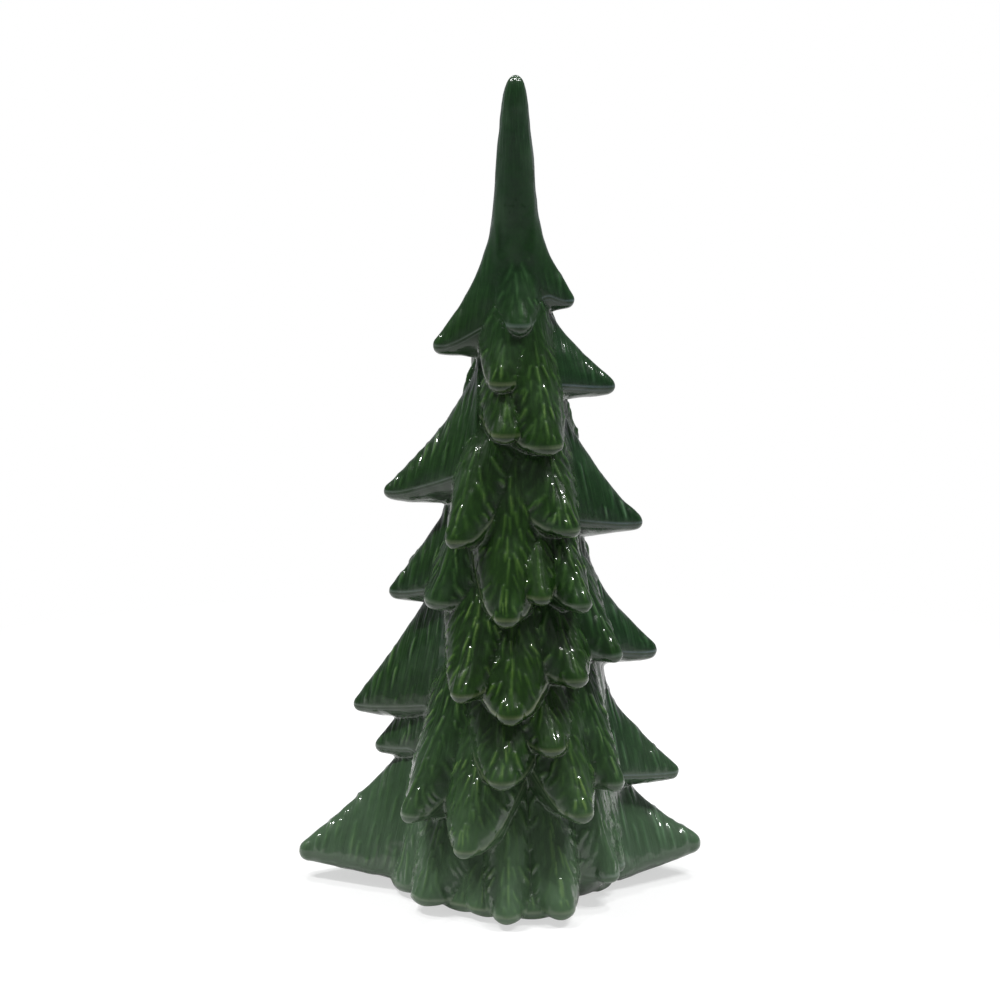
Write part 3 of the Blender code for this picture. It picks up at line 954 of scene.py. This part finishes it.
def ramp(tree, factor, stops):
    node = tree.nodes.new("ShaderNodeValToRGB")
    tree.links.new(factor, node.inputs["Fac"])
    elements = node.color_ramp.elements
    while len(elements) > 1:
        elements.remove(elements[-1])
    elements[0].position, elements[0].color = stops[0][0], (*stops[0][1], 1)
    for position, colour in stops[1:]:
        elements.new(position).color = (*colour, 1)
    return node.outputs["Color"]


def attribute(tree, name, output="Fac"):
    node = tree.nodes.new("ShaderNodeAttribute")
    node.attribute_name = name
    return node.outputs[output]


def math_node(tree, operation, *values, clamp=False):
    node = tree.nodes.new("ShaderNodeMath")
    node.operation = operation
    node.use_clamp = clamp
    for socket, value in zip(node.inputs, values):
        if isinstance(value, (int, float)):
            socket.default_value = value
        else:
            tree.links.new(value, socket)
    return node.outputs[0]


def times(tree, a, b):
    return math_node(tree, "MULTIPLY", a, b)


def mix_colour(tree, factor, a, b, blend="MIX"):
    node = tree.nodes.new("ShaderNodeMix")
    node.data_type = "RGBA"
    node.blend_type = blend
    for socket, value in ((node.inputs["Factor"], factor), (node.inputs[6], a), (node.inputs[7], b)):
        if isinstance(value, (int, float)):
            socket.default_value = value
        elif isinstance(value, tuple):
            socket.default_value = (*value, 1)
        else:
            tree.links.new(value, socket)
    return node.outputs[2]


def mix_shaders(tree, share, a, b):
    node = tree.nodes.new("ShaderNodeMixShader")
    for value, socket in zip((share, a.outputs[0], b.outputs[0]), node.inputs):
        tree.links.new(value, socket)
    return node


def noise_over(tree, vector, scale, detail, roughness=0.5):
    node = tree.nodes.new("ShaderNodeTexNoise")
    set_inputs(node, {"Scale": scale, "Detail": detail, "Roughness": roughness})
    tree.links.new(vector, node.inputs["Vector"])
    return node.outputs["Fac"]


def noise_node(tree, scale, detail, roughness=0.5):
    place = tree.nodes.new("ShaderNodeTexCoord")
    return noise_over(tree, place.outputs["Object"], scale, detail, roughness)


def map_range(tree, value, low, high):
    """0 at low to 1 at high."""
    node = tree.nodes.new("ShaderNodeMapRange")
    set_inputs(node, {"From Min": low, "From Max": high})
    tree.links.new(value, node.inputs["Value"])
    return node.outputs["Result"]


def streak_noise(tree, across, along):
    """Noise drawn out along the needles, in cells of the given size in mm."""
    scaled = tree.nodes.new("ShaderNodeVectorMath")
    scaled.operation = "MULTIPLY"
    scaled.inputs[1].default_value = (1 / across, 1 / along, 1)
    tree.links.new(attribute(tree, "place", "Vector"), scaled.inputs[0])
    return noise_over(tree, scaled.outputs["Vector"], 1.0, 1.0)


def bump_node(tree, height, distance, strength=1.0, normal=None):
    node = tree.nodes.new("ShaderNodeBump")
    set_inputs(node, {"Strength": strength, "Distance": distance})
    tree.links.new(height, node.inputs["Height"])
    if normal is not None:
        tree.links.new(normal, node.inputs["Normal"])
    return node.outputs["Normal"]


def glaze_material():
    """Green glaze: dark where it pools, yellower over the needles, thin along each bough's hem. Its
    side boughs are bluer and its lower part paler: painted reflection and painted light from the table.
    """
    made, tree, shader = new_material("green_glaze_pooled")
    links = tree.links
    mottle = noise_node(tree, 260, 3, 0.6)
    drift = noise_node(tree, 30, 2)
    patches = noise_node(tree, 75, 2)
    comb = streak_noise(tree, 0.95, 9.0)
    fine = ramp(tree, comb, ((0.46, BLACK), (0.62, (0.35, 0.35, 0.35)), (0.80, WHITE)))
    settled = attribute(tree, "settled")
    streak = times(tree, fine, times(tree, settled, patches))
    speckle = times(tree, math_node(tree, "SUBTRACT", mottle, 0.5), 0.22)
    depth = math_node(tree, "ADD", attribute(tree, "thin"), speckle)
    depth = math_node(tree, "ADD", depth, times(tree, streak, 0.42))
    body = ramp(tree, depth, GLAZE)
    place = map_range(tree, attribute(tree, "hem"), -HEM_REACH, HEM_REACH)
    stops = [((mm + HEM_REACH) / (2 * HEM_REACH), on) for mm, on in HEM_LINES]
    thinned = times(tree, ramp(tree, place, stops), noise_node(tree, 120, 2))
    thinned = math_node(tree, "MULTIPLY", thinned, 1.15, clamp=True)
    colour = mix_colour(tree, thinned, body, HEM_COLOUR)
    cooler = mix_colour(tree, 1.0, colour, COOLER, "MULTIPLY")
    warmer = mix_colour(tree, 1.0, colour, WARMER, "MULTIPLY")
    # How far towards the cooler tint: random drift, the bluish trunk and crown, and a painted
    # reflection that makes the side boughs bluer
    spread = times(tree, math_node(tree, "SUBTRACT", drift, 0.5), 0.6)
    shift = math_node(tree, "ADD", attribute(tree, "cool_and_side_reflection"), spread)
    shift = math_node(tree, "ADD", shift, 0.15, clamp=True)
    colour = mix_colour(tree, shift, warmer, cooler)
    # Random pale blotches, and painted light from the table that makes the lower part paler, mixed
    # towards one pale colour
    blotch = ramp(tree, noise_node(tree, 62, 2), ((0.55, BLACK), (0.66, WHITE)))
    painted_light_share = times(tree, attribute(tree, "painted_table_light"), 0.43)
    blotches_and_painted_light = math_node(tree, "ADD", times(tree, blotch, 0.06), painted_light_share)
    colour = mix_colour(tree, blotches_and_painted_light, colour, BLOTCH_AND_TABLE_LIGHT_COLOUR)
    links.new(colour, shader.inputs["Base Color"])
    set_inputs(shader, {"Roughness": 0.30, "Specular IOR Level": 0.15, "IOR": 1.5})
    set_inputs(shader, {"Coat Weight": 1.0, "Coat Roughness": 0.03})
    wave = bump_node(tree, noise_node(tree, 210, 1.5, 0.45), 0.00025)
    combed = bump_node(tree, times(tree, comb, settled), 0.00035, 0.7, wave)
    links.new(combed, shader.inputs["Normal"])
    links.new(combed, shader.inputs["Coat Normal"])
    return made


def bisque_material():
    """Bare fired clay, stained and speckled, for the inside and the foot."""
    made, tree, shader = new_material("bare_bisque")
    links = tree.links
    grain = noise_node(tree, 900, 4, 0.65)
    stain = noise_node(tree, 60, 3, 0.6)
    body = ramp(tree, stain, ((0.3, (0.50, 0.44, 0.36)), (0.7, (0.72, 0.67, 0.58))))
    specks = ramp(tree, grain, ((0.36, (0.55, 0.48, 0.40)), (0.46, WHITE)))
    colour = mix_colour(tree, 1.0, body, specks, "MULTIPLY")
    links.new(colour, shader.inputs["Base Color"])
    set_inputs(shader, {"Roughness": 0.85})
    links.new(bump_node(tree, grain, 0.0002), shader.inputs["Normal"])
    return made


def felt_material():
    made, tree, shader = new_material("grey_felt_fibre")
    links = tree.links
    fibre = noise_node(tree, 2600, 5, 0.75)
    patch = noise_node(tree, 420, 3, 0.6)
    dark, middle, pale = (0.030, 0.030, 0.029), (0.075, 0.075, 0.072), (0.16, 0.16, 0.155)
    body = ramp(tree, fibre, ((0.30, dark), (0.55, middle), (0.75, pale)))
    shade = ramp(tree, patch, ((0.3, (0.75, 0.75, 0.75)), (0.7, (1.15, 1.15, 1.15))))
    colour = mix_colour(tree, 1.0, body, shade, "MULTIPLY")
    links.new(colour, shader.inputs["Base Color"])
    set_inputs(shader, {"Roughness": 0.95, "Sheen Weight": 0.35, "Sheen Roughness": 0.5})
    links.new(bump_node(tree, fibre, 0.00025), shader.inputs["Normal"])
    return made


def glue_material():
    made, tree, shader = new_material("clear_glue_film")
    smear = noise_node(tree, 500, 2)
    colour = ramp(tree, smear, ((0.3, (0.42, 0.40, 0.34)), (0.7, (0.55, 0.53, 0.47))))
    tree.links.new(colour, shader.inputs["Base Color"])
    set_inputs(shader, {"Roughness": 0.35})
    return made


# Pads


def add_piece(name, shape, material, sharp):
    """An object from a bmesh, which is freed; it rides on the root and has the given material in its
    slot.
    """
    mesh = bpy.data.meshes.new(name)
    shape.to_mesh(mesh)
    shape.free()
    mesh.shade_smooth()
    mesh.set_sharp_from_angle(angle=math.radians(sharp))
    mesh.materials.append(material)
    made = linked(name, mesh)
    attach(made, "root")
    return made


def felt_disc(shape, centre, radius, top, rng):
    """A flat disc with a rounded, slightly uneven edge."""
    count, rings = 96, []
    fuzz = rng.normal(0, 0.012, count)
    for share, height in zip(PAD_RADII, PAD_HEIGHTS):
        ring = []
        for i in range(count):
            a = 2 * math.pi * i / count
            r = radius * share * (1 + (fuzz[i] - 0.02 if share > 0.9 else 0.0))
            z = top * height + (abs(rng.normal(0, FIBRE)) if 0 < height < 0.8 else 0.0)
            ring.append(shape.verts.new((centre[0] + r * math.cos(a), centre[1] + r * math.sin(a), z)))
        rings.append(ring)
    for inner, outer in zip(rings, rings[1:]):
        for i in range(count):
            j = (i + 1) % count
            shape.faces.new((inner[i], inner[j], outer[j], outer[i]))
    shape.faces.new(rings[0][::-1])
    shape.faces.new(rings[-1])
    bmesh.ops.recalc_face_normals(shape, faces=shape.faces)


def loose_fibres(shape, centre, radius, top, rng):
    """Thin pointed fibres that stand out of the disc's edge."""
    for _ in range(FIBRES):
        a = rng.uniform(0, 2 * math.pi)
        r = radius * rng.uniform(0.93, 0.985)
        z = top * rng.uniform(0.1, 0.9)
        base = Vector((centre[0] + r * math.cos(a), centre[1] + r * math.sin(a), z))
        east, north = math.cos(a + rng.normal(0, 0.7)), math.sin(a + rng.normal(0, 0.7))
        way = Vector((east, north, rng.normal(0, 0.35)))
        end = base + way.normalized() * rng.uniform(0.0003, 0.0007)
        end.z = min(max(end.z, 0.00003), top)
        side = way.cross(Vector((0, 0, 1))).normalized() * FIBRE
        up = Vector((0, 0, FIBRE))
        corners = [shape.verts.new(base + step) for step in (side, -side, up)]
        point = shape.verts.new(end)
        for k in range(3):
            shape.faces.new((corners[k], corners[(k + 1) % 3], point))


def felt_pad(node, felt, glue):
    """A felt disc with a worn, fuzzy edge, and the glue film above it."""
    low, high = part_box(node)
    centre = ((low[0] + high[0]) / 2, (low[1] + high[1]) / 2)
    radius, top = (high[0] - low[0]) / 2, high[2]
    rng = np.random.default_rng(int(centre[0] * 1e5) & 0xFFFF)
    shape = bmesh.new()
    felt_disc(shape, centre, radius, top, rng)
    loose_fibres(shape, centre, radius, top, rng)
    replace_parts(add_piece(f"felt_{node}", shape, felt, 50), node)
    film = bmesh.new()
    wide, depth = radius * 0.93, FOOT_HEIGHT - top - 0.00004
    bmesh.ops.create_cone(film, segments=64, radius1=wide, radius2=wide, depth=depth, cap_ends=True)
    rims = [e for e in film.edges if abs(e.verts[0].co.z - e.verts[1].co.z) < 1e-9]
    bmesh.ops.bevel(film, geom=rims, offset=0.00005, segments=2, affect="EDGES")
    bmesh.ops.translate(film, vec=(*centre, (FOOT_HEIGHT + top) / 2), verts=film.verts)
    add_piece(f"glue_{node}", film, glue, 40)


# Studio


def aim(obj, target):
    obj.rotation_euler = (Vector(target) - obj.location).to_track_quat("-Z", "Y").to_euler()


def add_camera():
    data = bpy.data.cameras.new("camera")
    made = linked("camera", data)
    made.location = CAMERA_PLACE
    aim(made, CAMERA_TARGET)
    data.sensor_width = 36
    data.lens = LENS
    data.shift_x, data.shift_y = SHIFT
    data.clip_start = 0.01
    bpy.context.scene.camera = made


def add_lamp(azimuth, elevation, power):
    """A small round lamp that points at the tree's middle."""
    name = f"lamp_{azimuth}"
    data = bpy.data.lights.new(name, "AREA")
    data.shape = "DISK"
    data.size = LAMP_SIZE
    data.energy = power
    made = linked(name, data)
    made.location = place_around(azimuth, elevation, LAMP_DISTANCE)
    aim(made, place_around(0, 0, 0))


def place_around(azimuth, elevation, distance):
    """A point at a distance from the tree's middle, azimuth 0 being in front of it."""
    a, e = math.radians(azimuth), math.radians(elevation)
    flat = distance * math.cos(e)
    height = CAMERA_TARGET[2] + distance * math.sin(e)
    return (AXIS[0] + flat * math.sin(a), AXIS[1] - flat * math.cos(a), height)


def ray_kinds(tree):
    """(the light path node, 1 for rays from the camera or through glass)."""
    path = tree.nodes.new("ShaderNodeLightPath")
    seen = (path.outputs["Is Camera Ray"], path.outputs["Is Transmission Ray"])
    return path, math_node(tree, "MAXIMUM", *seen)


def studio_world():
    """White behind the tree, and a dim room for its glaze to mirror."""
    world = bpy.data.worlds.new("studio")
    bpy.context.scene.world = world
    world.use_nodes = True
    tree = world.node_tree
    links = tree.links
    background = tree.nodes["Background"]
    place = tree.nodes.new("ShaderNodeTexCoord")
    split = tree.nodes.new("ShaderNodeSeparateXYZ")
    links.new(place.outputs["Generated"], split.inputs[0])
    height = math_node(tree, "MULTIPLY_ADD", split.outputs["Z"], 0.5, 0.5)
    path, straight = ray_kinds(tree)
    seen = mix_colour(tree, straight, ramp(tree, height, ROOM), WHITE)
    links.new(seen, background.inputs["Color"])
    soft = math_node(tree, "MULTIPLY_ADD", path.outputs["Is Diffuse Ray"], 0.8, 1.0)
    links.new(soft, background.inputs["Strength"])


def add_floor():
    """A pale floor, white to the camera but for the tree's soft shadow.

    The glaze mirrors the lit floor, with part of that white near the tree, and far off it is darker.
    """
    made, tree, shader = new_material("pale_floor")
    links = tree.links
    set_inputs(shader, {"Roughness": 0.6})
    place = tree.nodes.new("ShaderNodeTexCoord")
    apart = tree.nodes.new("ShaderNodeVectorMath")
    apart.operation = "LENGTH"
    links.new(place.outputs["Object"], apart.inputs[0])
    far = map_range(tree, apart.outputs["Value"], *NEAR_TO_FAR)
    # Painted falloff of light: the floor's colour darkens away from the tree
    links.new(mix_colour(tree, far, *FLOOR_PAINTED_FALLOFF), shader.inputs["Base Color"])
    matte = tree.nodes.new("ShaderNodeBsdfDiffuse")
    matte.inputs["Color"].default_value = (*WHITE, 1)
    glow = tree.nodes.new("ShaderNodeEmission")
    glow.inputs["Color"].default_value = (*WHITE, 1)
    whiten = math_node(tree, "MULTIPLY_ADD", far, 1 - FLOOR_GLOW, FLOOR_GLOW)
    seen = mix_shaders(tree, whiten, matte, glow)
    path, straight = ray_kinds(tree)
    near = times(tree, math_node(tree, "SUBTRACT", 1.0, far), MIRRORED_GLOW)
    mirrored = times(tree, path.outputs["Is Glossy Ray"], near)
    mixed = mix_shaders(tree, math_node(tree, "MAXIMUM", straight, mirrored), shader, seen)
    links.new(mixed.outputs[0], tree.nodes["Material Output"].inputs["Surface"])
    floor = object_from("floor", [(-3, -3, 0), (3, -3, 0), (3, 3, 0), (-3, 3, 0)], [(0, 1, 2, 3)])
    floor.data.materials.append(made)


def clad(mesh):
    """Glaze on the casting's skin, and bare bisque on triangles with three unglazed corners."""
    glaze, bisque = glaze_material(), bisque_material()
    mesh.materials.clear()
    mesh.materials.append(glaze)
    mesh.materials.append(bisque)
    bare = numbers(mesh.attributes["unglazed"].data, "value")
    corners = numbers(mesh.loops, "vertex_index", np.int32)
    starts = numbers(mesh.polygons, "loop_start", np.int32)
    share = np.add.reduceat(bare[corners], starts)
    mesh.polygons.foreach_set("material_index", (share > 2.5).astype(np.int32))


def main():
    scene = bpy.context.scene
    scene.view_settings.view_transform = "Standard"
    add_camera()
    studio_world()
    add_floor()
    casting = tree_casting()
    clad(casting.data)
    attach(casting, "root")
    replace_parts(casting, "tree_casting")
    felt, glue = felt_material(), glue_material()
    for node in ("pad_front_right", "pad_rear_right", "pad_rear_left", "pad_front_left"):
        felt_pad(node, felt, glue)
    for azimuth, elevation, power in LAMPS:
        add_lamp(azimuth, elevation, power)


main()
